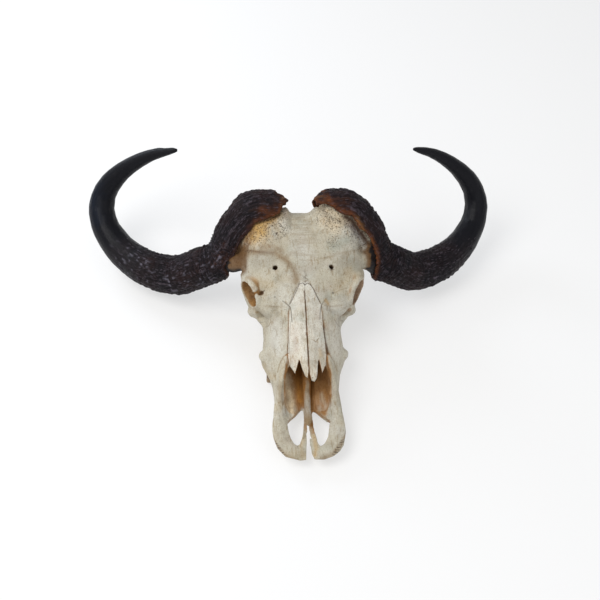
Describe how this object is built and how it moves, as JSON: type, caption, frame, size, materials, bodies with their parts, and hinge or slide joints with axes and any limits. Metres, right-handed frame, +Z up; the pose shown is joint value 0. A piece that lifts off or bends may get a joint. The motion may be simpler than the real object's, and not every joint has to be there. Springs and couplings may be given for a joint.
{
  "type": "buffalo skull",
  "caption": "Life-size skull of an African buffalo with its two curved black horns, without the lower jaw, lying on its cheek teeth and the back of its base.",
  "frame": {"origin": "centre of the bounding box at floor level", "axes": "+Z up, -Y towards the nose, +X to the animal's left"},
  "size_m": [0.8506, 0.6118, 0.2674],
  "materials": {
    "bone": "dry, slightly porous bone",
    "bone_cream": "dry, smooth bone with fine cracks",
    "bone_stained": "stained bone inside the nose",
    "horn_sheath": "black horn, satin towards the tips and rough at the base"
  },
  "bodies": {
    "root": {"cranium": "bone", "maxilla_left": "bone_cream", "maxilla_right": "bone_cream", "premaxilla_left": "bone_cream", "premaxilla_right": "bone_cream", "nasal_left": "bone", "nasal_right": "bone", "vomer": "bone_stained", "horn_left": "horn_sheath", "horn_right": "horn_sheath"}
  },
  "joints": []
}
